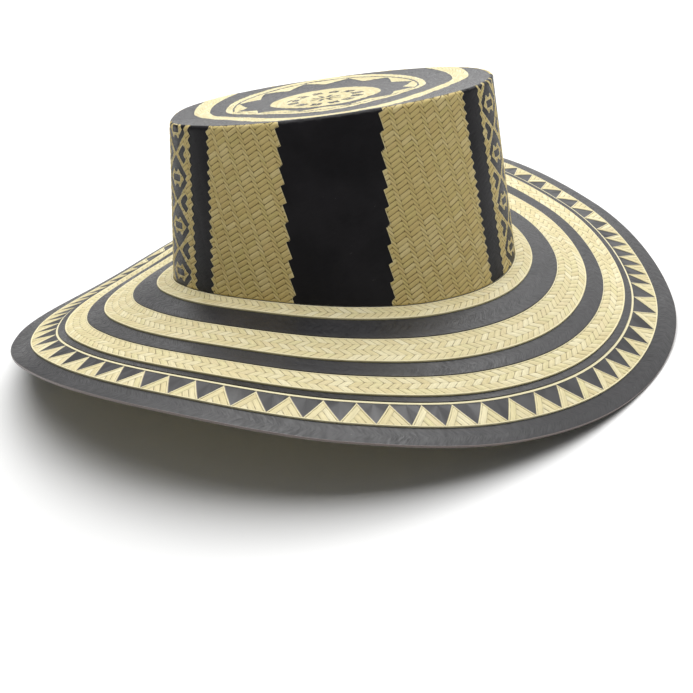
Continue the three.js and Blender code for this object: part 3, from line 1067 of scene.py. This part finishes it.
def by_ink(tree, light, dark):
    """Colour and roughness of patterned straw, from those of natural and of black straw."""
    ink = attribute(tree, "ink")
    is_light = ramp_between(tree, ink, *INK_EDGE)
    outlined = mixed(tree, ramp_between(tree, ink, *PALE_OUTLINE), light[0], PALE)
    difference = maths(tree, "SUBTRACT", light[1], dark[1])
    rough = maths(tree, "MULTIPLY_ADD", is_light, difference, dark[1])
    return mixed(tree, is_light, dark[0], outlined), rough


def straw_material(name, kind, shade_tint=None, crossings=0.35, shine=0.5, seam_from=0.74):
    """Woven cane: kind is natural, black or patterned, where ink says which colour it is."""
    material = bpy.data.materials.new(name)
    material.use_nodes = True
    tree = material.node_tree
    tree.nodes.clear()
    parts = straw_parts(tree)
    if kind != "black":
        colour = natural_colour(tree, parts, shade_tint, crossings, seam_from)
        light = (colour, ramp_between(tree, parts.fibres, *LIGHT_ROUGHNESS))
    if kind != "natural":
        dark = (black_colour(tree, parts), ramp_between(tree, parts.fibres, *DARK_ROUGHNESS))
    if kind == "patterned":
        colour, rough = by_ink(tree, light, dark)
    else:
        colour, rough = light if kind == "natural" else dark
    bump = node_of(tree, "ShaderNodeBump", {**BUMP, "Height": parts.fibres})
    shader = node_of(tree, "ShaderNodeBsdfPrincipled", {
        "Base Color": colour, "Roughness": rough, "Normal": bump.outputs["Normal"],
        "Specular IOR Level": shine})
    output = node_of(tree, "ShaderNodeOutputMaterial", {"Surface": shader.outputs["BSDF"]})
    output.is_active_output = True
    return material


# The photograph's view: place in metres, turn to the left, tilt and roll in degrees, and the lens
# in millimetres.
CAMERA_PLACE = (0.02178, -0.68499, 0.37404)
CAMERA_TURN = 1.9221
CAMERA_TILT = -29.4903
CAMERA_ROLL = -5.4095
CAMERA_LENS = 67.04


def floor():
    """Plain pale floor that the hat rests on."""
    size = 6.0
    paint = {"Base Color": (0.86, 0.86, 0.855, 1), "Roughness": 0.8, "Specular IOR Level": 0.1}
    mesh = bpy.data.meshes.new("floor")
    corners = [(-size, -size, 0), (size, -size, 0), (size, size, 0), (-size, size, 0)]
    mesh.from_pydata(corners, [], [(0, 1, 2, 3)])
    material = bpy.data.materials.new("floor_paint")
    material.use_nodes = True
    shader = material.node_tree.nodes["Principled BSDF"]
    for key, value in paint.items():
        shader.inputs[key].default_value = value
    mesh.materials.append(material)
    obj = bpy.data.objects.new("floor", mesh)
    bpy.context.scene.collection.objects.link(obj)


def area_light(name, place, target, width, power):
    """Square light that faces its target."""
    data = bpy.data.lights.new(name, "AREA")
    data.shape = "SQUARE"
    data.size = width
    data.energy = power
    obj = bpy.data.objects.new(name, data)
    top_towards = (0.0, 1.0, 0.001)
    forward = (Vector(target) - Vector(place)).normalized()
    side = forward.cross(top_towards).normalized()
    turned = Matrix((side, side.cross(forward), -forward)).transposed()
    obj.matrix_world = Matrix.Translation(place) @ turned.to_4x4()
    bpy.context.scene.collection.objects.link(obj)


def studio():
    """Large soft light from above and behind, and a dim even surround."""
    world = bpy.data.worlds.new("studio")
    world.use_nodes = True
    background = world.node_tree.nodes["Background"]
    for key, value in {"Color": (1.0, 1.0, 1.0, 1), "Strength": 0.17}.items():
        background.inputs[key].default_value = value
    bpy.context.scene.world = world
    bpy.context.scene.view_settings.view_transform = "Standard"
    area_light("overhead", place=(0.12, 0.4, 1.7), target=(0.0, 0.1, 0.0), width=2.2, power=52.0)
    area_light("back", place=(0.6, 2.1, 1.2), target=(0.0, 0.0, 0.1), width=3.2, power=46.0)


def camera():
    """The photograph's view of the hat."""
    data = bpy.data.cameras.new("camera")
    data.lens = CAMERA_LENS
    obj = bpy.data.objects.new("camera", data)
    turned = Matrix.Rotation(math.radians(CAMERA_TURN), 4, "Z")
    tilted = Matrix.Rotation(math.radians(90 + CAMERA_TILT), 4, "X")
    rolled = Matrix.Rotation(math.radians(CAMERA_ROLL), 4, "Z")
    obj.matrix_world = Matrix.Translation(CAMERA_PLACE) @ turned @ tilted @ rolled
    bpy.context.scene.collection.objects.link(obj)
    bpy.context.scene.camera = obj


camera()
studio()
floor()
natural_straw = straw_material("natural_straw", "natural", crossings=0.8, seam_from=0.82)
black_straw = straw_material("black_straw", "black")
patterned_straw = straw_material("patterned_straw", "patterned")
# The wall's straw is the patterned straw with a painted shade tint over it.
shaded_wall_straw = straw_material("shaded_wall_straw", "patterned", WALL_SHADE_TINT, crossings=1.0, shine=0.2)
brim_bands(natural_straw, black_straw)
brim_triangles(patterned_straw)
crown_wall(shaded_wall_straw)
crown_top(patterned_straw)
